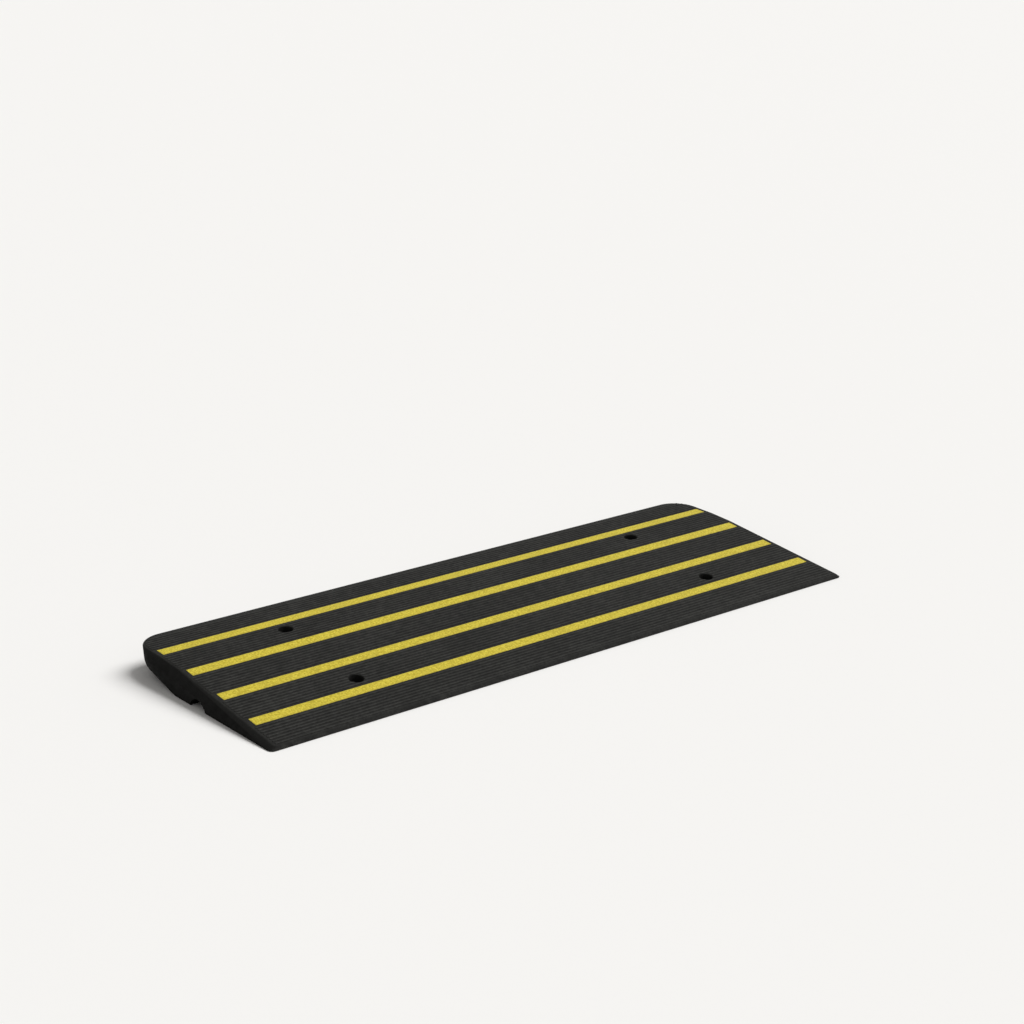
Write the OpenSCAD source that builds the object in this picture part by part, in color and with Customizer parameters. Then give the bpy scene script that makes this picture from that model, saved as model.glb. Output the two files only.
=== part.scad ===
// Threshold ramp: a moulded rubber wedge with a ribbed deck. Reflective strips are let into the
// deck, counterbored holes take floor anchors, and a channel runs under it for a cable or for water.
// X runs along the doorway, Y climbs from the low edge to the high edge and Z is up.
// The origin is on the ground, at the middle of the ramp.

/* [Overall size] */
// Length along the doorway, at the foot
ramp_length = 1524; // [1000:4:2000]
// Height of the high edge above the ground
ramp_rise = 58; // [45:1:90]
// Run of the slope, from the low edge to the first knee
slope_run = 344; // [300:2:440]
// Run of the crown, from the first knee to the second
crown_run = 60; // [40:2:100]
// Run of the landing, from the second knee to the high edge
landing_run = 124; // [116:2:220]

/* [Deck] */
// Thickness at the low edge
toe_height = 9; // [7:0.5:14]
// Fall from the second knee to the first
crown_fall = 4.3; // [3.5:0.1:6.5]
// Fall from the high edge to the second knee
landing_fall = 3; // [0.5:0.5:6]

/* [Corners and ends] */
// How far the foot of an end stands out past its top edge, from the first knee to the high edge
end_draft = 11.5; // [4:0.5:18]
// How far the foot of an end stands out past its top edge, at the low corner
low_end_draft = 7; // [4:0.5:12]
// How far the foot of the low edge stands out past its top
toe_draft = 2; // [0:0.5:6]
// Corner radius of the deck in plan at the low edge
low_corner_r = 10; // [8:1:24]
// Corner radius of the deck in plan at the high edge
high_corner_r = 60; // [36:1:62]
// Corner radius of the foot in plan at the low edge
low_foot_r = 12; // [10:1:30]
// Corner radius of the foot in plan at the high edge
high_foot_r = 92; // [60:1:120]
// Rounding of the deck's edges along the ends and the high edge
top_edge_r = 4; // [2:0.5:8]
// Rounding of the deck's edge along the low edge
toe_edge_r = 6; // [2:0.5:7]
// Rounding of the heel, under the high corners
heel_r = 40; // [6:1:44]
// Foot of an end to the place where the heel is square
heel_inset = 180; // [140:5:300]
// Rounding of the other edges of the foot
sole_r = 1.5; // [0.5:0.1:3]

/* [Ribs] */
// Distance from rib to rib
rib_pitch = 9.6; // [8:0.2:14]
// Width of a rib at its root
rib_root_w = 6; // [4:0.2:7]
// Width of a rib at its crest
rib_crest_w = 3.4; // [2:0.2:3.8]
// Height of a rib
rib_h = 1.4; // [0.8:0.1:2.4]
// Smooth band between a strip and the ribs
strip_band = 3; // [1:0.5:8]
// Smooth band along the low edge
toe_band = 15; // [10:1:30]
// Smooth band along the high edge
heel_band = 15; // [10:1:30]
// Smooth band along the rounded edge of an end
end_band = 0; // [0:0.5:12]

/* [Reflective strips] */
// Width of a strip
strip_w = 27; // [20:1:34]
// Thickness of a strip
strip_t = 2.2; // [1.5:0.1:4]
// How deep a strip is let into the deck
strip_recess = 1.8; // [0.6:0.1:2]
// Low edge to the middle of the lowest strip
first_strip = 100; // [70:1:130]
// High edge to the middle of the highest strip
last_strip = 92; // [70:1:110]
// Foot of an end to the ends of the strips
strip_inset = 24; // [20:1:60]

/* [Anchor holes] */
// Middle of an outer strip to the row of holes inside it
hole_offset = 43; // [38:1:56]
// Foot of an end to the middle of a hole
hole_inset = 289; // [120:1:420]
// Bore for the anchor bolt
bolt_d = 14; // [10:0.5:18]
// Counterbore for the bolt's head
counterbore_d = 31; // [26:0.5:36]
// Ground to the floor of a counterbore
seat_z = 8; // [5:0.5:10]
// Thickness of a washer
washer_t = 3; // [2:0.5:4]

/* [Channel] */
// Width of the channel at the ground
channel_w = 56; // [40:1:70]
// Height of the channel's crown
channel_h = 20; // [12:1:24]
// Low edge to the middle of the channel
channel_from_low = 258; // [230:1:300]

/* [Hidden] */

strip_count = 4;
strip_chamfer = 0.5;
strip_slit = 0.2;
washer_slit = 0.3;
rib_root_sink = 1;
overrun = 5;
corner_fn = 64;
bore_fn = 64;
edge_steps = 6;
quarter_turn = 90;

second_knee = slope_run + crown_run;
ramp_depth = second_knee + landing_run;
low_y = -ramp_depth / 2;
end_x = ramp_length / 2;
second_height = ramp_rise - landing_fall;
first_height = second_height - crown_fall;
strip_l = ramp_length - 2 * strip_inset;
hole_x = end_x - hole_inset;
washer_d = counterbore_d - 2 * washer_slit;
channel_r = (channel_w * channel_w / 4 + channel_h * channel_h) / (2 * channel_h);

// Flat discs of the deck at its corners, inside the rounded edges
low_flat_r = low_corner_r - toe_edge_r;
high_flat_r = high_corner_r - top_edge_r;
knee_flat_r = top_edge_r;
low_flat_d = toe_draft + low_corner_r;

// The deck's three runs, of which each is less steep than the one before
toe_line = low_flat_d - low_flat_r;
slope_grade = (first_height - toe_height) / (slope_run - toe_line);
crown_grade = crown_fall / crown_run;
landing_grade = landing_fall / (landing_run - top_edge_r);
landing_tilt = atan(landing_grade);

// The high disc tilts with the landing, and its rounded rim still ends at the high edge
rim_lean = top_edge_r * sin(landing_tilt);
high_flat_d = ramp_depth - top_edge_r - rim_lean - high_flat_r * cos(landing_tilt);

// Height and grade of the deck at a distance from the low edge
function deck_z(d) =
  d < slope_run ? toe_height + slope_grade * (d - toe_line)
  : d < second_knee ? first_height + crown_grade * (d - slope_run)
  : second_height + landing_grade * (d - second_knee);
function deck_grade(d) = d < slope_run ? slope_grade : d < second_knee ? crown_grade : landing_grade;
high_flat_z = deck_z(high_flat_d);

// Distances from the low edge to the strips, the rows of holes and the ribs
strip_pitch = (ramp_depth - first_strip - last_strip) / (strip_count - 1);
strip_lines = [for (i = [0:strip_count - 1]) first_strip + i * strip_pitch];
hole_rows = [strip_lines[0] + hole_offset, strip_lines[strip_count - 1] - hole_offset];
strip_half = strip_w / 2 + strip_band;
band_starts = concat([toe_band], [for (d = strip_lines) d + strip_half]);
band_ends = concat([for (d = strip_lines) d - strip_half], [ramp_depth - heel_band]);
function ribs_between(a, b) =
  let (count = max(0, floor((b - a - rib_root_w) / rib_pitch) + 1))
  [for (i = [0:1:count - 1]) (a + b) / 2 + (i - (count - 1) / 2) * rib_pitch];
rib_lines = [for (k = [0:strip_count]) each ribs_between(band_starts[k], band_ends[k])];

// Half length of a rib: the deck's corners shorten it
function corner_cut(r, past) = r - sqrt(r * r - past * past);
function rib_half(d) =
  end_x - end_draft - top_edge_r - end_band
  - corner_cut(low_flat_r, max(0, low_flat_d - d))
  - corner_cut(high_flat_r, max(0, d - high_flat_d));

// Points of a quarter round between two directions
function quarter_round(r, from) =
  [for (i = [0:edge_steps])
    let (a = from + quarter_turn * i / edge_steps)
    [r * cos(a), r * sin(a)]];

// A corner of the foot: a disc whose lower rim is rounded, drawn in inset from the end and in depth
module foot(inset, d, r, edge_r) {
  translate([end_x - inset, low_y + d, edge_r])
    rotate_extrude($fn = corner_fn)
      polygon(concat(
        [[0, 0], [0, -edge_r]],
        [for (p = quarter_round(edge_r, -quarter_turn)) p + [r - edge_r, 0]]
      ));
}

// A corner of the deck: a disc at the deck's height whose upper rim is rounded
module cap(inset, d, flat_r, height, edge_r, tilt = 0) {
  translate([end_x - inset, low_y + d, height])
    rotate([tilt, 0, 0])
      translate([0, 0, -edge_r])
        rotate_extrude($fn = corner_fn)
          polygon(concat(
            [[0, 0]],
            [for (p = quarter_round(edge_r, 0)) p + [flat_r, 0]],
            [[0, edge_r]]
          ));
}

// A small cap under a knee, as far in from the end as the landing's edge
module knee_cap(d, height) {
  cap(end_draft + top_edge_r + knee_flat_r, d + knee_flat_r, knee_flat_r, height, top_edge_r);
}

// The wedge is stretched over four feet and four caps at each end, so every edge is rounded by them
module wedge() {
  hull()
    for (side = [0, 1])
      mirror([side, 0, 0]) {
        foot(low_foot_r, low_foot_r, low_foot_r, sole_r);
        foot(low_foot_r, slope_run, low_foot_r, sole_r);
        foot(high_foot_r, ramp_depth - high_foot_r, high_foot_r, heel_r);
        foot(heel_inset, ramp_depth - low_foot_r, low_foot_r, sole_r);
        cap(low_end_draft + low_corner_r, low_flat_d, low_flat_r, toe_height, toe_edge_r);
        knee_cap(slope_run, first_height);
        knee_cap(second_knee, second_height);
        cap(end_draft + high_corner_r, high_flat_d, high_flat_r, high_flat_z, top_edge_r, landing_tilt);
      }
}

// A prism along X whose outline is drawn in distance from the low edge and height
module along_ramp(length) {
  translate([-length / 2, low_y, 0])
    rotate([90, 0, 90])
      linear_extrude(height = length)
        children();
}

module rib_outline(d) {
  root = rib_root_w / 2;
  crest = rib_crest_w / 2;
  polygon([
    [d - root, deck_z(d - root) - rib_root_sink],
    [d + root, deck_z(d + root) - rib_root_sink],
    [d + crest, deck_z(d + crest) + rib_h],
    [d - crest, deck_z(d - crest) + rib_h]
  ]);
}

module ribs() {
  for (d = rib_lines)
    along_ramp(2 * rib_half(d))
      rib_outline(d);
}

// Puts its children on the deck at a distance from the low edge, tilted with the deck
module on_deck(d) {
  translate([0, low_y + d, deck_z(d)])
    rotate([atan(deck_grade(d)), 0, 0])
      children();
}

module strip_recesses() {
  recess_l = strip_l + 2 * strip_slit;
  recess_w = strip_w + 2 * strip_slit;
  for (d = strip_lines)
    on_deck(d)
      translate([-recess_l / 2, -recess_w / 2, -strip_recess])
        cube([recess_l, recess_w, strip_recess + overrun]);
}

module at_holes() {
  for (x = [-hole_x, hole_x], d = hole_rows)
    translate([x, low_y + d, 0])
      children();
}

module anchor_holes() {
  at_holes() {
    translate([0, 0, -overrun])
      cylinder(d = bolt_d, h = seat_z + 2 * overrun, $fn = bore_fn);
    translate([0, 0, seat_z])
      cylinder(d = counterbore_d, h = ramp_rise + overrun, $fn = bore_fn);
  }
}

// An arch cut by a round bar whose axis lies below the ground, so its crown and mouth are both set
module channel() {
  translate([0, low_y + channel_from_low, channel_h - channel_r])
    rotate([0, 90, 0])
      cylinder(r = channel_r, h = ramp_length + 2 * overrun, center = true, $fn = bore_fn);
}

module ramp_body() {
  color("#29292a")
    difference() {
      union() {
        wedge();
        ribs();
      }
      strip_recesses();
      anchor_holes();
      channel();
    }
}

// A strip lies on the floor of its recess, and its top edges are chamfered
module reflective_strip(i) {
  half_w = strip_w / 2;
  top = strip_t - strip_recess;
  color("#d8b820")
    on_deck(strip_lines[i])
      translate([-strip_l / 2, 0, 0])
        rotate([90, 0, 90])
          linear_extrude(height = strip_l)
            polygon([
              [-half_w, -strip_recess],
              [half_w, -strip_recess],
              [half_w, top - strip_chamfer],
              [half_w - strip_chamfer, top],
              [strip_chamfer - half_w, top],
              [-half_w, top - strip_chamfer]
            ]);
}

// Washers on the counterbore floors spread the bolts' load over the rubber
module anchor_washers() {
  color("#54575a")
    at_holes()
      translate([0, 0, seat_z])
        difference() {
          cylinder(d = washer_d, h = washer_t, $fn = bore_fn);
          translate([0, 0, -overrun])
            cylinder(d = bolt_d, h = washer_t + 2 * overrun, $fn = bore_fn);
        }
}

ramp_body();
reflective_strip(0);  // reflective_strip_1
reflective_strip(1);  // reflective_strip_2
reflective_strip(2);  // reflective_strip_3
reflective_strip(3);  // reflective_strip_4
anchor_washers();
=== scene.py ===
# %% [markdown]
# A threshold ramp is a wedge of moulded rubber that evens out a low step. The construction is
# loaded as a fixed frame in metres, and this lesson adds the looks: the finish of each surface
# and the fine edges that a mould leaves. Nothing in the frame is moved.

# %% Load the frame
import math

import bmesh
import bpy
from mathutils import Matrix, Vector


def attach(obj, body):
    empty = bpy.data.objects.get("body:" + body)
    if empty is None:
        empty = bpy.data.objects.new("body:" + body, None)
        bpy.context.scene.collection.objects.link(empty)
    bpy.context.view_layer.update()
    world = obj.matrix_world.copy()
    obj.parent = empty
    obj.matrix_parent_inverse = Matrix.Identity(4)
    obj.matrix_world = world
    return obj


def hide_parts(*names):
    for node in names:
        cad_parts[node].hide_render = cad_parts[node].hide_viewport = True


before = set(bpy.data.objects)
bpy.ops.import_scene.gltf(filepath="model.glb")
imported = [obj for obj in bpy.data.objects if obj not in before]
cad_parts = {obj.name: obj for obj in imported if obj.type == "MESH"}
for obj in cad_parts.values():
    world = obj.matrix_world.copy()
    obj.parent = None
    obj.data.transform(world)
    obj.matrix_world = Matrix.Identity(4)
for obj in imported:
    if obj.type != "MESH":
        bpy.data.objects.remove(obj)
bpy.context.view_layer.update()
print("nodes", sorted(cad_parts))

# %% [markdown]
# The camera stands four metres off, to the left of the low edge and about one and a half metres
# up. Its place and lens were worked out from the strips, the edges and the holes, so that each
# line of the deck lands where the photograph has it.

# %% Camera
CAMERA_PLACE = (-2.562, -3.179, 1.537)
CAMERA_HEADING = math.radians(50.963)
CAMERA_TILT = math.radians(17.602)
LENS_MM, SENSOR_MM = 71.74, 36
QUARTER_TURN = math.pi / 2

camera_data = bpy.data.cameras.new("camera")
camera_data.lens = LENS_MM
camera_data.sensor_width = SENSOR_MM
camera = bpy.data.objects.new("camera", camera_data)
camera.location = CAMERA_PLACE
camera.rotation_euler = (QUARTER_TURN - CAMERA_TILT, 0, CAMERA_HEADING - QUARTER_TURN)
bpy.context.scene.collection.objects.link(camera)
bpy.context.scene.camera = camera
print("camera at", CAMERA_PLACE, "lens", LENS_MM)

# %% [markdown]
# Colours are written as sRGB hex values, the way a colour picker shows them, and a shader wants
# linear light, so one function converts them. A second small function adds a node, sets its
# values and links its inputs, which keeps each material short enough to read from top to bottom.
# A Mix node has several sockets of the same name, so they are picked by number, and the numbers
# get names here.

# %% Helpers for colours and nodes
FACTOR, VALUE_A, VALUE_B, COLOUR_A, COLOUR_B = 0, 2, 3, 6, 7
MIXED_VALUE, MIXED_COLOUR = 0, 2


def linear(hex_colour):
    """The linear RGBA of an sRGB hex colour, by the curve of the sRGB standard."""
    shares = [int(hex_colour[i:i + 2], 16) / 255 for i in (1, 3, 5)]
    return [s / 12.92 if s <= 0.04045 else ((s + 0.055) / 1.055) ** 2.4 for s in shares] + [1]


def add(tree, kind, settings=None, links=None):
    """Adds a node. A setting is one of its own options or the value of an input."""
    node = tree.nodes.new(kind)
    for name, value in (settings or {}).items():
        if isinstance(name, str) and hasattr(node, name):
            setattr(node, name, value)
        else:
            node.inputs[name].default_value = value
    for name, source in (links or {}).items():
        tree.links.new(source, node.inputs[name])
    return node


print("mid grey in linear light", [round(share, 3) for share in linear("#808080")])

# %% [markdown]
# Each material starts as nothing but its output and a Principled shader, which can stand for
# rubber, plastic and metal alike. Floor and sky look brighter to the eye than the light they
# give, as a lit backdrop does in a studio. For that, a helper tells apart the rays that show a
# surface to the eye: straight, in a mirror or through glass.

# %% Helpers for materials
EYE_RAYS = ("Is Camera Ray", "Is Glossy Ray", "Is Transmission Ray")


def new_material(name, settings):
    """A material with only its output and a Principled shader, which gets these settings."""
    material = bpy.data.materials.new(name)
    material.use_nodes = True
    tree = material.node_tree
    tree.nodes.clear()
    shader = add(tree, "ShaderNodeBsdfPrincipled", settings)
    add(tree, "ShaderNodeOutputMaterial", links={"Surface": shader.outputs["BSDF"]})
    return material, tree, shader


def seen_share(tree):
    """A socket that is 1 for the rays that show a surface to the eye, and 0 for the others."""
    path = add(tree, "ShaderNodeLightPath")
    share = path.outputs[EYE_RAYS[0]]
    for ray in EYE_RAYS[1:]:
        larger = add(tree, "ShaderNodeMath", {"operation": "MAXIMUM"},
                     {0: share, 1: path.outputs[ray]})
        share = larger.outputs[0]
    return share


print("rays that show a surface:", EYE_RAYS)

# %% [markdown]
# The floor is a plain pale sheet, made as a grid of one face. Rays from the camera see it nearly
# white, and it keeps the ramp's shadow. Light that bounces off it meets a darker tone, so that
# the upright end of the ramp stays as dark as the photograph has it.

# %% Floor
MM = 0.001
FLOOR_HALF = 40
FLOOR_GAP = 0.2 * MM
PALE = linear("#fcfbf9")


def new_piece(name, bm):
    """An object at the origin from a finished bmesh, which is freed."""
    mesh = bpy.data.meshes.new(name)
    bm.to_mesh(mesh)
    bm.free()
    piece = bpy.data.objects.new(name, mesh)
    bpy.context.scene.collection.objects.link(piece)
    return piece


floor_bm = bmesh.new()
bmesh.ops.create_grid(floor_bm, x_segments=1, y_segments=1, size=FLOOR_HALF,
                      matrix=Matrix.Translation((0, 0, -FLOOR_GAP)))
floor = new_piece("floor", floor_bm)

floor_material, tree, shader = new_material(
    "pale floor", {"Roughness": 0.9, "Specular IOR Level": 0.1})
tone = add(tree, "ShaderNodeMix",
           {"data_type": "RGBA", COLOUR_A: linear("#5a5856"), COLOUR_B: PALE},
           {FACTOR: seen_share(tree)})
tree.links.new(tone.outputs[MIXED_COLOUR], shader.inputs["Base Color"])
floor.data.materials.append(floor_material)
print("floor", 2 * FLOOR_HALF, "m square")

# %% [markdown]
# The light is soft: an even sky, and a broad sun on the near right. It reaches the low edge and
# the fronts of the ribs as well as the deck, and it leaves the end on the left in shade. Their
# strengths add up to a level at which a colour on the deck renders about as it is written. To
# the eye the sky has the floor's own pale tone, so that no line shows where the two meet.

# %% Light
SKY_LEVEL, BACKDROP_LEVEL, SUN_LEVEL = 0.3, 0.945, 2.75
SUN_HEIGHT = math.radians(48)
SUN_HEADING = math.radians(-12)
SUN_SPREAD = math.radians(40)

world = bpy.data.worlds.new("sky")
bpy.context.scene.world = world
world.use_nodes = True
tree = world.node_tree
tree.nodes.clear()
level = add(tree, "ShaderNodeMix", {VALUE_A: SKY_LEVEL, VALUE_B: BACKDROP_LEVEL},
            {FACTOR: seen_share(tree)})
sky = add(tree, "ShaderNodeBackground", {"Color": PALE}, {"Strength": level.outputs[MIXED_VALUE]})
add(tree, "ShaderNodeOutputWorld", links={"Surface": sky.outputs[0]})

sun_data = bpy.data.lights.new("sun", "SUN")
sun_data.energy = SUN_LEVEL
sun_data.angle = SUN_SPREAD
sun = bpy.data.objects.new("sun", sun_data)
sun.rotation_euler = (QUARTER_TURN - SUN_HEIGHT, 0, SUN_HEADING + QUARTER_TURN)
bpy.context.scene.collection.objects.link(sun)
bpy.context.scene.view_settings.view_transform = "Standard"
print("sky", SKY_LEVEL, "sun", SUN_LEVEL)

# %% [markdown]
# The body is one moulding of solid rubber. A mould can't have sharp corners, so every edge of it
# is rounded: a narrow round along the deck, a tight one at the low corners, and high corners
# that draw in towards the ground like a boat's bow. The sizes are those of the construction, in
# millimetres. Depths are measured from the low edge, and the deck's height at a depth comes from
# three straight runs.

# %% Sizes of the wedge
LENGTH, RISE, DEPTH = 1524, 58, 528
# Depth and height of the points where the deck's runs meet
DECK_POINTS = ((8, 9), (344, 50.7), (404, 55), (524, RISE))


def deck_run(depth):
    """The two points between which a depth lies, or the last two."""
    for low, high in zip(DECK_POINTS, DECK_POINTS[1:]):
        if depth < high[0]:
            break
    return low, high


def deck_grade(depth):
    """The slope of the deck at a depth."""
    low, high = deck_run(depth)
    return (high[1] - low[1]) / (high[0] - low[0])


def deck_height(depth):
    """The height of the bare deck, without ribs, at a depth."""
    low = deck_run(depth)[0]
    return low[1] + deck_grade(depth) * (depth - low[0])


def on_deck(depth, x=0):
    """A matrix that sets a shape, drawn in millimetres, on the deck and tilts it with the deck."""
    place = Matrix.Translation(Vector((x, depth - DEPTH / 2, deck_height(depth))))
    return Matrix.Scale(MM, 4) @ place @ Matrix.Rotation(math.atan(deck_grade(depth)), 4, "X")


print("deck grades", [round(deck_grade(point[0]), 3) for point in DECK_POINTS[:-1]])

# %% [markdown]
# One end of the wedge is shaped like a tent over eight discs with rounded rims: four feet on the
# ground and four caps under the deck. This cell lists them. The ends lean in from the feet to
# the caps, which is how the moulding comes out of its mould.

# %% Discs of one end
# How far the end leans in at the low corner and elsewhere, and how far the low edge leans in
LOW_LEAN, END_LEAN, TOE_LEAN = 7, 11.5, 2
# Radii of the feet and their rims: plain ones, and the wide one that shapes the bow
FOOT_R, SOLE_R, BOW_R, BOW_RIM_R = 12, 1.5, 92, 40
# Radii of the caps and their rims: at the low corner, along the end and at the high corner
LOW_CAP_R, END_CAP_R, HIGH_CAP_R, TOE_RIM_R, DECK_RIM_R = 10, 8, 60, 6, 4
HEEL_INSET = 180
TOE_TOP, SLOPE_TOP, CROWN_TOP, HIGH_EDGE = DECK_POINTS
LOW_CAP_DEPTH = TOE_LEAN + LOW_CAP_R
HIGH_CAP_DEPTH = DEPTH - HIGH_CAP_R
# Each disc: inset of its middle from the end, depth, radius, rim radius, height of rim's axis
FEET = ((FOOT_R, FOOT_R, FOOT_R, SOLE_R, SOLE_R),
        (FOOT_R, SLOPE_TOP[0], FOOT_R, SOLE_R, SOLE_R),
        (BOW_R, DEPTH - BOW_R, BOW_R, BOW_RIM_R, BOW_RIM_R),
        (HEEL_INSET, DEPTH - FOOT_R, FOOT_R, SOLE_R, SOLE_R))
CAPS = ((LOW_LEAN + LOW_CAP_R, LOW_CAP_DEPTH, LOW_CAP_R, TOE_RIM_R, TOE_TOP[1] - TOE_RIM_R),
        *((END_LEAN + END_CAP_R, depth + DECK_RIM_R, END_CAP_R, DECK_RIM_R, height - DECK_RIM_R)
          for depth, height in (SLOPE_TOP, CROWN_TOP)),
        (END_LEAN + HIGH_CAP_R, HIGH_CAP_DEPTH, HIGH_CAP_R, DECK_RIM_R, RISE - DECK_RIM_R))
print(len(FEET), "feet and", len(CAPS), "caps")

# %% [markdown]
# A disc's rim starts as one point, which is spun a quarter turn into an arc, and the arc is spun
# a full turn round an upright axis. Each disc is made a second time, mirrored in a plane not far
# from the end, so that together they stand for a short ramp. The cap at the high corner is
# tilted, because the deck still rises there.

# %% Discs in place
CUT_X = 560
RIM_STEPS = 8
WIDE_R, WIDE_STEPS, NARROW_STEPS = 40, 96, 48
FULL_TURN = 2 * math.pi
UPRIGHT = Vector((0, 0, 1))


def spin_disc(bm, x, depth, flat_r, rim_r, axis_z, start):
    """Spins a point into a rounded rim, and the rim into a disc round an upright axis."""
    known, known_edges = set(bm.verts), set(bm.edges)
    middle = Vector((x, depth - DEPTH / 2, 0)) * MM
    pivot = middle + Vector((flat_r, 0, axis_z)) * MM
    first = bm.verts.new(pivot + Vector(start) * rim_r * MM)
    bmesh.ops.spin(bm, geom=[first], cent=pivot, axis=(0, -1, 0), angle=QUARTER_TURN,
                   steps=RIM_STEPS)
    arc = [vert for vert in bm.verts if vert not in known]
    arc += [edge for edge in bm.edges if edge not in known_edges]
    bmesh.ops.spin(bm, geom=arc, cent=middle, axis=UPRIGHT, angle=FULL_TURN,
                   steps=WIDE_STEPS if flat_r > WIDE_R else NARROW_STEPS, use_merge=True)
    return [vert for vert in bm.verts if vert not in known]


wedge_bm = bmesh.new()
# A foot's rim starts from the ground, and a cap's rim from its widest point
for discs, start in ((FEET, (0, 0, -1)), (CAPS, (1, 0, 0))):
    for inset, depth, radius, rim_r, axis_z in discs:
        for x in (LENGTH / 2 - inset, 2 * CUT_X - LENGTH / 2 + inset):
            disc = spin_disc(wedge_bm, x, depth, radius - rim_r, rim_r, axis_z, start)
            if radius == HIGH_CAP_R:
                tilt = Matrix.Rotation(math.atan(deck_grade(depth)), 3, "X")
                hinge = (0, (HIGH_EDGE[0] - DEPTH / 2) * MM, RISE * MM)
                bmesh.ops.rotate(wedge_bm, verts=disc, cent=hinge, matrix=tilt)
print("the discs have", len(wedge_bm.verts), "points")

# %% [markdown]
# A convex hull is the skin that is stretched over all the discs, which gives each edge its own
# radius and blends one into the next. It is drawn on the short ramp and then cut at its middle,
# because the operator rounds its sums to a grid that grows with the length.

# %% One end, stretched over the discs
FLAT_ENOUGH = math.radians(0.05)

bmesh.ops.delete(wedge_bm, geom=wedge_bm.edges[:], context="EDGES_FACES")
bmesh.ops.convex_hull(wedge_bm, input=wedge_bm.verts[:], use_existing_faces=False)
loose = [vert for vert in wedge_bm.verts if not vert.link_faces]
bmesh.ops.delete(wedge_bm, geom=loose, context="VERTS")
bmesh.ops.dissolve_limit(wedge_bm, angle_limit=FLAT_ENOUGH, verts=wedge_bm.verts[:],
                         edges=wedge_bm.edges[:])
bmesh.ops.bisect_plane(wedge_bm, geom=wedge_bm.verts[:] + wedge_bm.edges[:] + wedge_bm.faces[:],
                       plane_co=(CUT_X * MM, 0, 0), plane_no=(1, 0, 0), clear_inner=True)
print("one end has", len(wedge_bm.faces), "faces")

# %% [markdown]
# The other end is its mirror image. The two open outlines that face each other have the same
# points, so bridging them makes the long plain middle, and the wedge is closed.

# %% The whole wedge
NO_MERGE = -1

bmesh.ops.mirror(wedge_bm, geom=wedge_bm.verts[:] + wedge_bm.edges[:] + wedge_bm.faces[:],
                 matrix=Matrix.Identity(4), merge_dist=NO_MERGE, axis="X")
open_edges = [edge for edge in wedge_bm.edges if edge.is_boundary]
bmesh.ops.bridge_loops(wedge_bm, edges=open_edges)
bmesh.ops.recalc_face_normals(wedge_bm, faces=wedge_bm.faces[:])
still_open = sum(edge.is_boundary for edge in wedge_bm.edges)
print("bridged", len(open_edges), "open edges; still open:", still_open)
rubber_wedge = new_piece("rubber_wedge", wedge_bm)

# %% [markdown]
# Ribs along the deck give it grip. They fill the bands between the strips evenly, so each band
# takes as many as its width allows and shares out what is left. One more runs along the brink of
# the low edge.

# %% Where the ribs lie
STRIP_LINES = (100, 212, 324, 436)
STRIP_WIDTH = 27
RIB_PITCH, RIB_ROOT = 9.6, 6
# Bare bands along the low and high edges, and from a strip's middle to the ribs beside it
EDGE_BAND, STRIP_BAND = 15, STRIP_WIDTH / 2 + 3
BAND_EDGES = [EDGE_BAND,
              *(line + side * STRIP_BAND for line in STRIP_LINES for side in (-1, 1)),
              DEPTH - EDGE_BAND]

rib_depths = []
for low, high in zip(BAND_EDGES[::2], BAND_EDGES[1::2]):
    count = int((high - low - RIB_ROOT) / RIB_PITCH) + 1
    rib_depths += [(low + high) / 2 + (i - (count - 1) / 2) * RIB_PITCH for i in range(count)]
rib_depths.insert(0, rib_depths[0] - RIB_PITCH)
print(len(rib_depths), "ribs, the first", round(rib_depths[0], 1), "mm from the low edge")

# %% [markdown]
# Each rib is a cube drawn out along the ramp. Its top is scaled in, so that its sides and ends
# slope as a mould needs, and its crest gets a small round with a bevel. The ribs near the
# rounded corners are shorter.

# %% Ribs
RIB_HEIGHT, RIB_CREST, RIB_SINK = 1.4, 3.4, 1
RIB_REACH = LENGTH / 2 - END_LEAN - DECK_RIM_R
CREST_ROUND, CREST_STEPS = 0.5 * MM, 2


def corner_cut(radius, past):
    """How much a round corner shortens a line that lies past the start of the round."""
    return radius - math.sqrt(radius ** 2 - max(0, past) ** 2)


def round_edges(bm, edges, radius, steps, clamp=False):
    """Turns sharp edges into rounds."""
    bmesh.ops.bevel(bm, geom=edges, offset=radius, segments=steps, profile=0.5, affect="EDGES",
                    material=-1, clamp_overlap=clamp)


ribs_bm = bmesh.new()
for depth in rib_depths:
    half = (RIB_REACH - corner_cut(LOW_CAP_R - TOE_RIM_R, LOW_CAP_DEPTH - depth)
            - corner_cut(HIGH_CAP_R - DECK_RIM_R, depth - HIGH_CAP_DEPTH))
    height = RIB_HEIGHT + RIB_SINK
    size = Matrix.Diagonal((2 * half, RIB_ROOT, height, 1))
    seat = on_deck(depth) @ Matrix.Translation((0, 0, RIB_HEIGHT - height / 2))
    cube = bmesh.ops.create_cube(ribs_bm, size=1, matrix=size)["verts"]
    crest = [vert for vert in cube if vert.co.z > 0]
    bmesh.ops.scale(ribs_bm, verts=crest, vec=(1 - height / half, RIB_CREST / RIB_ROOT, 1))
    bmesh.ops.transform(ribs_bm, verts=cube, matrix=seat)
    crest_edges = [edge for edge in ribs_bm.edges if all(vert in crest for vert in edge.verts)]
    round_edges(ribs_bm, crest_edges, CREST_ROUND, CREST_STEPS)
ribs = new_piece("ribs", ribs_bm)
print(len(ribs.data.polygons), "faces on the ribs")

# %% [markdown]
# What is missing from the moulding is made as solid tools that a Boolean takes away: four long
# blocks for the seats of the strips, four stepped plugs for the anchor bolts, and one round bar
# under the ramp for the cable channel. A plug is an outline that is spun round the bolt's axis.

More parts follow.
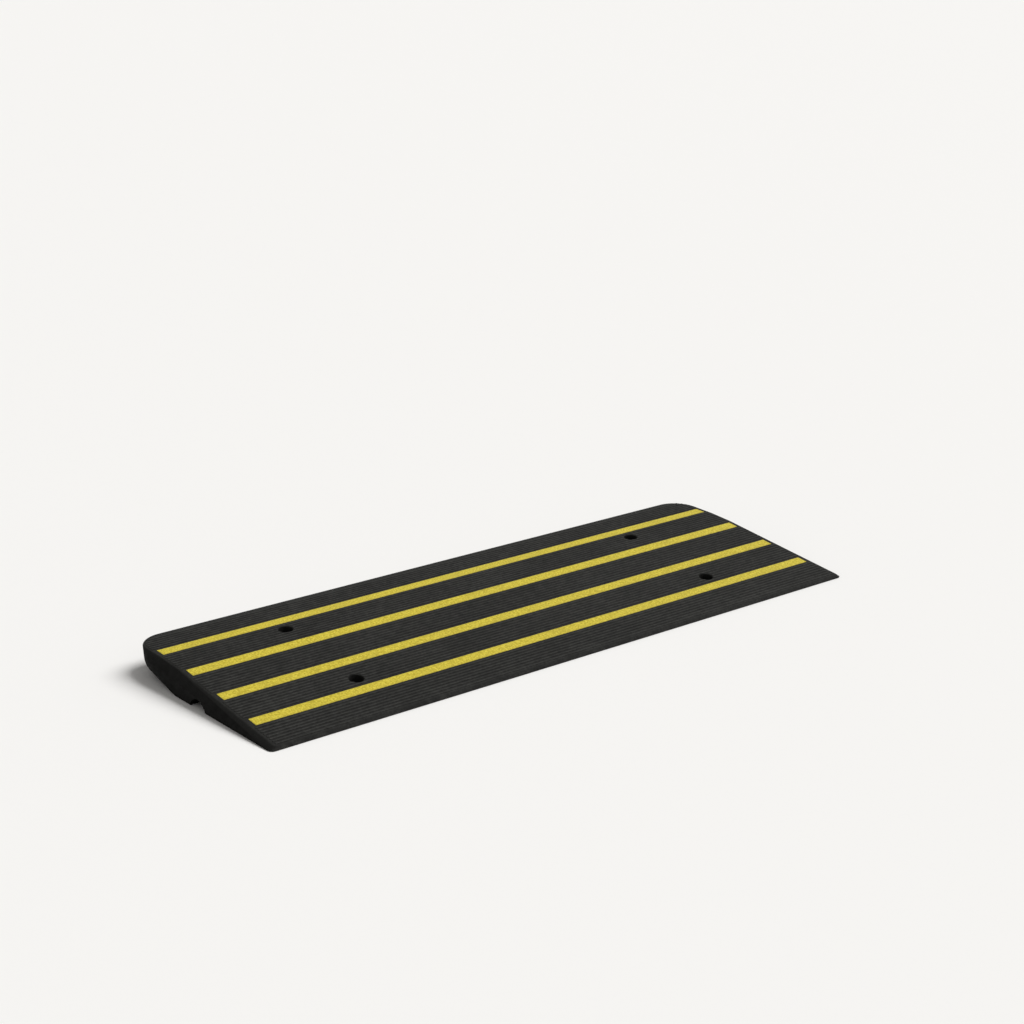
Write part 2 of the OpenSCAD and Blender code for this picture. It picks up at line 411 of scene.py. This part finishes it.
# %% Tools that cut the seats, the holes and the channel
STRIP_LENGTH, STRIP_SEAT, SLIT = 1476, 1.8, 0.2
HOLE_PLACES = [(x, depth) for x in (-473, 473) for depth in (143, 393)]
BORE_R, COUNTERBORE_R, SEAT_HEIGHT, HOLE_STEPS = 7, 15.5, 8, 64
CHANNEL_DEPTH, CHANNEL_CROWN, CHANNEL_R, CHANNEL_STEPS = 258, 20, 29.6, 128
OVERRUN = 5
SAME_POINT = 0.001 * MM


def spin_outline(bm, x, depth, points, closed=False):
    """Draws an outline of radii and heights, and spins it round an upright axis."""
    axis = Vector((x, depth - DEPTH / 2, 0)) * MM
    outline = [bm.verts.new(axis + Vector((r, 0, z)) * MM) for r, z in points]
    following = outline[1:] + outline[:1] if closed else outline[1:]
    outline += [bm.edges.new(pair) for pair in zip(outline, following)]
    bmesh.ops.spin(bm, geom=outline, cent=axis, axis=UPRIGHT, angle=FULL_TURN, steps=HOLE_STEPS,
                   use_merge=True)


tools_bm = bmesh.new()
for depth in STRIP_LINES:
    size = Matrix.Diagonal((STRIP_LENGTH + 2 * SLIT, STRIP_WIDTH + 2 * SLIT,
                            STRIP_SEAT + OVERRUN, 1))
    lift = Matrix.Translation((0, 0, (OVERRUN - STRIP_SEAT) / 2))
    bmesh.ops.create_cube(tools_bm, size=1, matrix=on_deck(depth) @ lift @ size)
for x, depth in HOLE_PLACES:
    spin_outline(tools_bm, x, depth, (
        (0, -OVERRUN), (BORE_R, -OVERRUN), (BORE_R, SEAT_HEIGHT), (COUNTERBORE_R, SEAT_HEIGHT),
        (COUNTERBORE_R, RISE + OVERRUN), (0, RISE + OVERRUN)))
bar = Matrix.Translation(Vector((0, CHANNEL_DEPTH - DEPTH / 2, CHANNEL_CROWN - CHANNEL_R)) * MM)
bmesh.ops.create_cone(tools_bm, cap_ends=True, segments=CHANNEL_STEPS, radius1=CHANNEL_R * MM,
                      radius2=CHANNEL_R * MM, depth=(LENGTH + 2 * OVERRUN) * MM,
                      matrix=bar @ Matrix.Rotation(QUARTER_TURN, 4, "Y"))
bmesh.ops.remove_doubles(tools_bm, verts=tools_bm.verts[:], dist=SAME_POINT)
bmesh.ops.recalc_face_normals(tools_bm, faces=tools_bm.faces[:])
tools = new_piece("tools", tools_bm)
print(len(tools.data.polygons), "faces on the tools")

# %% [markdown]
# A mould's edge is never knife sharp, so a second set of tools breaks the rim of each hole. They
# are cones tilted with the deck, which cut the rim evenly all round.

# %% Tools that break the rims
RIM_BREAK, RIM_TALL = 1, 4

rims_bm = bmesh.new()
low_r = COUNTERBORE_R - RIM_TALL + RIM_BREAK
for x, depth in HOLE_PLACES:
    bmesh.ops.create_cone(rims_bm, cap_ends=True, segments=HOLE_STEPS, radius1=low_r,
                          radius2=low_r + 2 * RIM_TALL, depth=2 * RIM_TALL,
                          matrix=on_deck(depth, x))
rims = new_piece("rims", rims_bm)
print(len(rims.data.polygons), "faces on the rims")

# %% [markdown]
# The Boolean modifier joins the ribs to the wedge and takes the tools away. Its result is kept
# as the piece's own mesh, and the helpers are removed, so that only finished geometry is left in
# the scene.

# %% Join and cut


def apply_boolean(piece, other, operation):
    """Joins or cuts a piece with another one, which is used up."""
    modifier = piece.modifiers.new(operation.lower(), "BOOLEAN")
    modifier.operation = operation
    modifier.solver = "MANIFOLD"
    modifier.object = other
    graph = bpy.context.evaluated_depsgraph_get()
    result = bpy.data.meshes.new_from_object(piece.evaluated_get(graph))
    piece.modifiers.clear()
    piece.data = result
    bpy.data.objects.remove(other)
    print(operation.lower(), "leaves", len(result.polygons), "faces")


apply_boolean(rubber_wedge, ribs, "UNION")
apply_boolean(rubber_wedge, tools, "DIFFERENCE")
apply_boolean(rubber_wedge, rims, "DIFFERENCE")

# %% [markdown]
# The channel's mouths get a round of their own, so that they don't cut into a cable. A bevel can
# make it: its edges are the ones between the bar's surface and an end. It leaves double points
# where it runs out on the ground, so these are merged.

# %% Round the channel's mouths
MOUTH_ROUND, MOUTH_STEPS = 2 * MM, 3
SHARP_ANGLE = math.radians(40)
NEARLY_SAME_POINT = 0.005 * MM
BAR_MIDDLE = Vector((CHANNEL_DEPTH - DEPTH / 2, CHANNEL_CROWN - CHANNEL_R))
NEAR_BAR = 0.02


def on_bar(vert):
    """True for a point on the surface of the bar that cut the channel."""
    across = Vector((vert.co.y, vert.co.z)) / MM - BAR_MIDDLE
    return abs(across.length - CHANNEL_R) < NEAR_BAR and vert.co.z > 0


body_bm = bmesh.new()
body_bm.from_mesh(rubber_wedge.data)
bmesh.ops.remove_doubles(body_bm, verts=body_bm.verts[:], dist=NEARLY_SAME_POINT)
bmesh.ops.dissolve_limit(body_bm, angle_limit=FLAT_ENOUGH, verts=body_bm.verts[:],
                         edges=body_bm.edges[:])
mouth_edges = [edge for edge in body_bm.edges
               if all(on_bar(vert) for vert in edge.verts)
               and abs(edge.verts[0].co.x - edge.verts[1].co.x) < CUT_X * MM
               and edge.is_manifold and edge.calc_face_angle() > SHARP_ANGLE]
round_edges(body_bm, mouth_edges, MOUTH_ROUND, MOUTH_STEPS, clamp=True)
bmesh.ops.remove_doubles(body_bm, verts=body_bm.verts[:], dist=NEARLY_SAME_POINT)
not_closed = sum(not edge.is_manifold for edge in body_bm.edges)
print(len(mouth_edges), "mouth edges; open edges", not_closed)
body_bm.to_mesh(rubber_wedge.data)
body_bm.free()

# %% [markdown]
# The surface is made smooth to the eye: edges that turn by more than 40 degrees stay sharp, and
# weighted normals let the large flat faces win, so that the rounds blend into them without a
# shadow. Two attributes tell the material where the rubber is paler. One is 1 on the crests of
# the ribs and 0 in the grooves: the crests are scuffed, and the darker grooves are painted shade.
# The other is 1 on the deck and fades out just below it: partly trodden-in dust, and partly
# painted light that keeps the deck paler than the ends and the edge's round, which get painted
# shade. The front of the low edge is painted as pale as the deck, partly wear and partly painted
# light on that face.

# %% Finish the body
DUST_AND_LIGHT_FADE, TOE_ZONE, TOE_SCUFF_AND_LIGHT = 3, 20, 1.1


def make_smooth(piece):
    """Shades a piece smooth, apart from its sharp edges."""
    piece.data.shade_smooth()
    piece.data.set_sharp_from_angle(angle=SHARP_ANGLE)


def add_attribute(piece, name, shares):
    """Gives each point of a piece a share between 0 and 1, under a name."""
    values = [min(1, max(0, share)) for share in shares]
    piece.data.attributes.new(name, "FLOAT", "POINT").data.foreach_set("value", values)


make_smooth(rubber_wedge)
rubber_wedge.modifiers.new("weighted normals", "WEIGHTED_NORMAL").keep_sharp = True
scuff_and_groove_shade, dust_and_lit_share = [], []
for vert in rubber_wedge.data.vertices:
    depth = vert.co.y / MM + DEPTH / 2
    above = vert.co.z / MM - deck_height(depth)
    # The front of the low edge is painted pale like the deck: wear, and painted light on that face
    front = -vert.normal.y if depth < TOE_ZONE else 0
    # Crests paler by scuffing, and grooves painted darker as painted shade between the ribs
    scuff_and_groove_shade.append(max(above / RIB_HEIGHT, front * TOE_SCUFF_AND_LIGHT))
    # Paler deck: dust, and painted light that leaves the ends and the edge's round in painted
    # shade
    dust_and_lit_share.append(max(1 + above / DUST_AND_LIGHT_FADE, front))
add_attribute(rubber_wedge, "crest", scuff_and_groove_shade)
add_attribute(rubber_wedge, "dust_and_lit_top", dust_and_lit_share)
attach(rubber_wedge, "root")
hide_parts("ramp_body")
print(len(rubber_wedge.data.polygons), "faces on the rubber wedge")

# %% [markdown]
# The strips are flat bars of reflective plastic that lie in their seats and stand just proud of
# the bare deck. Each is a cube drawn out to its size, with a small round on its upper edges and
# at its corners. An inset draws a border on its top, and an attribute that falls off across the
# border tells the material where dirt gathers.

# %% Reflective strips
STRIP_THICK = 2.2
STRIP_ROUND, STRIP_STEPS = 0.5 * MM, 3
STRIP_BORDER = 5 * MM

strips = []
for number, depth in enumerate(STRIP_LINES, 1):
    strip_bm = bmesh.new()
    size = Matrix.Diagonal((STRIP_LENGTH, STRIP_WIDTH, STRIP_THICK, 1))
    lift = Matrix.Translation((0, 0, STRIP_THICK / 2 - STRIP_SEAT))
    bmesh.ops.create_cube(strip_bm, size=1, matrix=size)
    upper = [edge for edge in strip_bm.edges if any(vert.co.z > 0 for vert in edge.verts)]
    bmesh.ops.transform(strip_bm, verts=strip_bm.verts[:], matrix=on_deck(depth) @ lift)
    round_edges(strip_bm, upper, STRIP_ROUND, STRIP_STEPS)
    top = max(strip_bm.faces, key=lambda face: face.calc_area() * face.normal.z)
    bmesh.ops.inset_individual(strip_bm, faces=[top], thickness=STRIP_BORDER, use_even_offset=True)
    clean = set(top.verts)
    on_border = [vert not in clean for vert in strip_bm.verts]
    strip = new_piece(f"yellow_strip_{number}", strip_bm)
    add_attribute(strip, "border", on_border)
    make_smooth(strip)
    strip.modifiers.new("weighted normals", "WEIGHTED_NORMAL").keep_sharp = True
    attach(strip, "root")
    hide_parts(f"reflective_strip_{number}")
    strips.append(strip)
print(len(strips), "strips")

# %% [markdown]
# A steel washer lies on the floor of each counterbore, where a bolt's head will press. It is
# punched from sheet, so its outline is a small rectangle with rounded corners that is spun round
# the bolt's axis.

# %% Washers
WASHER_R, WASHER_THICK = 15.2, 3
PUNCH_ROUND, PUNCH_STEPS = 0.6 * MM, 2

washers_bm = bmesh.new()
washer_top = SEAT_HEIGHT + WASHER_THICK
for x, depth in HOLE_PLACES:
    spin_outline(washers_bm, x, depth, (
        (BORE_R, SEAT_HEIGHT), (WASHER_R, SEAT_HEIGHT), (WASHER_R, washer_top),
        (BORE_R, washer_top)), closed=True)
bmesh.ops.recalc_face_normals(washers_bm, faces=washers_bm.faces[:])
corner_edges = [edge for edge in washers_bm.edges if edge.calc_face_angle() > SHARP_ANGLE]
round_edges(washers_bm, corner_edges, PUNCH_ROUND, PUNCH_STEPS)
washers = new_piece("steel_washers", washers_bm)
make_smooth(washers)
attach(washers, "root")
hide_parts("anchor_washers")
print(len(HOLE_PLACES), "washers")

# %% [markdown]
# Moulded rubber is black from carbon, matte, and never quite even. Outside, feet tread pale dust
# into it, and the crests of the ribs are scuffed to a paler grey. So the colour goes from bare
# rubber to a paler dusted tone by the two attributes, and noise at four sizes breaks it up. The
# paler tone is partly dust and partly painted light: the deck is painted paler than the ends and
# the underside, which stay bare as painted shade, and the grooves between the ribs are painted
# darker as shade. The grain of the mould is a fraction of a millimetre on the real ramp, and is
# drawn coarser to show.

# %% Moulded rubber
CLOUD_MM, PATCH_MM, GRIT_MM, GRAIN_MM = 140, 16, 5, 1.2
PORE_DEPTH = 0.4 * MM

rubber, tree, shader = new_material("moulded black rubber", {"Specular IOR Level": 0.07})
place = add(tree, "ShaderNodeTexCoord").outputs["Object"]
cloud, patch, grit, grain = (
    add(tree, "ShaderNodeTexNoise", {"Scale": 1 / (size * MM), "Detail": detail},
        {"Vector": place}).outputs["Fac"]
    for size, detail in ((CLOUD_MM, 3), (PATCH_MM, 4), (GRIT_MM, 2), (GRAIN_MM, 2)))
dust_and_light, crest_scuff_and_shade = (add(tree, "ShaderNodeAttribute", {"attribute_name": name}).outputs["Fac"]
                for name in ("dust_and_lit_top", "crest"))
# What the dust and painted light is multiplied by in turn: paler crests and grooves painted
# darker as shade, a film, smears, specks and crumbs, each with the range of what drives it and
# the shares that this becomes
for driver, low, high, least, most in (
        (crest_scuff_and_shade, 0, 1, 0.36, 0.8), (cloud, 0.3, 0.7, 0.7, 1.05), (patch, 0.36, 0.64, 0.62, 1.32),
        (grit, 0.36, 0.64, 0.72, 1.28), (grain, 0.36, 0.64, 0.75, 1.25)):
    share = add(tree, "ShaderNodeMapRange",
                {"From Min": low, "From Max": high, "To Min": least, "To Max": most},
                {"Value": driver})
    product = add(tree, "ShaderNodeMath", {"operation": "MULTIPLY"},
                  {0: dust_and_light, 1: share.outputs[0]})
    dust_and_light = product.outputs[0]
# Bare rubber, and the paler tone that is partly dust and partly painted light on the deck
colour = add(tree, "ShaderNodeMix",
             {"data_type": "RGBA", COLOUR_A: linear("#131312"), COLOUR_B: linear("#3c3c3a")},
             {FACTOR: dust_and_light})
tree.links.new(colour.outputs[MIXED_COLOUR], shader.inputs["Base Color"])
gloss = add(tree, "ShaderNodeMapRange",
            {"From Min": 0.3, "From Max": 0.7, "To Min": 0.66, "To Max": 0.82}, {"Value": patch})
tree.links.new(gloss.outputs[0], shader.inputs["Roughness"])
pores = add(tree, "ShaderNodeBump", {"Strength": 0.5, "Distance": PORE_DEPTH}, {"Height": grain})
tree.links.new(pores.outputs[0], shader.inputs["Normal"])
rubber_wedge.data.materials.clear()
rubber_wedge.data.materials.append(rubber)
print("rubber finished")

# %% [markdown]
# The strips are yellow plastic with glass beads in its surface, which throw light back to where
# it came from. In plain light they look matte, with a tone that varies in clusters, paler specks
# on the beads that are painted glints, and a little grime between them, most of it along the
# edges. Real beads are a tenth of a millimetre wide, and are drawn ten times as coarse, in
# clusters of a few millimetres.

# %% Glass-bead plastic
BEAD_MM, CLUSTER_MM, SMUDGE_MM, GRIME_MM = 1.2, 4, 11, 45
BEAD_SHARE = 0.45
BEAD_DEPTH = 0.2 * MM

bead_plastic, tree, shader = new_material(
    "glass-bead yellow plastic", {"Roughness": 0.6, "Specular IOR Level": 0.2})
place = add(tree, "ShaderNodeTexCoord").outputs["Object"]
cluster, smudge, grime = (
    add(tree, "ShaderNodeTexNoise", {"Scale": 1 / (size * MM), "Detail": detail},
        {"Vector": place}).outputs["Fac"]
    for size, detail in ((CLUSTER_MM, 2), (SMUDGE_MM, 4), (GRIME_MM, 4)))
bead = add(tree, "ShaderNodeTexVoronoi", {"Scale": 1 / (BEAD_MM * MM)}, {"Vector": place})
# Clusters of tone, with paler bead specks mixed in as painted glints
mottle_and_glints = add(tree, "ShaderNodeMapRange", {"From Min": 0.38, "From Max": 0.62},
              {"Value": cluster})
mottle_and_glints = add(tree, "ShaderNodeMix", {FACTOR: BEAD_SHARE},
              {VALUE_A: mottle_and_glints.outputs[0], VALUE_B: bead.outputs["Color"]})
yellow = add(tree, "ShaderNodeMix",
             {"data_type": "RGBA", COLOUR_A: linear("#aa960c"), COLOUR_B: linear("#e9d84e")},
             {FACTOR: mottle_and_glints.outputs[MIXED_VALUE]})
soiled = add(tree, "ShaderNodeMapRange", {"From Min": 0.5, "From Max": 0.75, "To Max": 0.25},
             {"Value": grime})
edge_dirt = add(tree, "ShaderNodeMapRange", {"From Min": 0.35, "From Max": 0.7, "To Max": 0.55},
                {"Value": smudge})
border = add(tree, "ShaderNodeAttribute", {"attribute_name": "border"}).outputs["Fac"]
edge_dirt = add(tree, "ShaderNodeMath", {"operation": "MULTIPLY"},
                {0: edge_dirt.outputs[0], 1: border})
soiled = add(tree, "ShaderNodeMath", {"operation": "MAXIMUM"},
             {0: soiled.outputs[0], 1: edge_dirt.outputs[0]})
yellow = add(tree, "ShaderNodeMix", {"data_type": "RGBA", COLOUR_B: linear("#8f8430")},
             {FACTOR: soiled.outputs[0], COLOUR_A: yellow.outputs[MIXED_COLOUR]})
tree.links.new(yellow.outputs[MIXED_COLOUR], shader.inputs["Base Color"])
beads = add(tree, "ShaderNodeBump", {"Strength": 0.3, "Distance": BEAD_DEPTH},
            {"Height": bead.outputs["Distance"]})
tree.links.new(beads.outputs[0], shader.inputs["Normal"])
for strip in strips:
    strip.data.materials.append(bead_plastic)
print("strips finished")

# %% [markdown]
# The washers are zinc-plated steel: grey, half bright, with the cloudy spangle of the plating
# and a dull bloom of grime that a hole in the ground gives them.

# %% Zinc-plated steel
SPANGLE_MM, BLOOM_MM = 2.5, 9

zinc, tree, shader = new_material("zinc-plated steel", {"Metallic": 1})
place = add(tree, "ShaderNodeTexCoord").outputs["Object"]
spangle = add(tree, "ShaderNodeTexVoronoi", {"Scale": 1 / (SPANGLE_MM * MM)}, {"Vector": place})
bloom = add(tree, "ShaderNodeTexNoise", {"Scale": 1 / (BLOOM_MM * MM), "Detail": 4},
            {"Vector": place})
grey = add(tree, "ShaderNodeMix",
           {"data_type": "RGBA", COLOUR_A: linear("#5a5b5c"), COLOUR_B: linear("#7e8082")},
           {FACTOR: spangle.outputs["Distance"]})
tree.links.new(grey.outputs[MIXED_COLOUR], shader.inputs["Base Color"])
dull = add(tree, "ShaderNodeMapRange",
           {"From Min": 0.3, "From Max": 0.7, "To Min": 0.35, "To Max": 0.6},
           {"Value": bloom.outputs["Fac"]})
tree.links.new(dull.outputs[0], shader.inputs["Roughness"])
washers.data.materials.append(zinc)
print("washers finished")
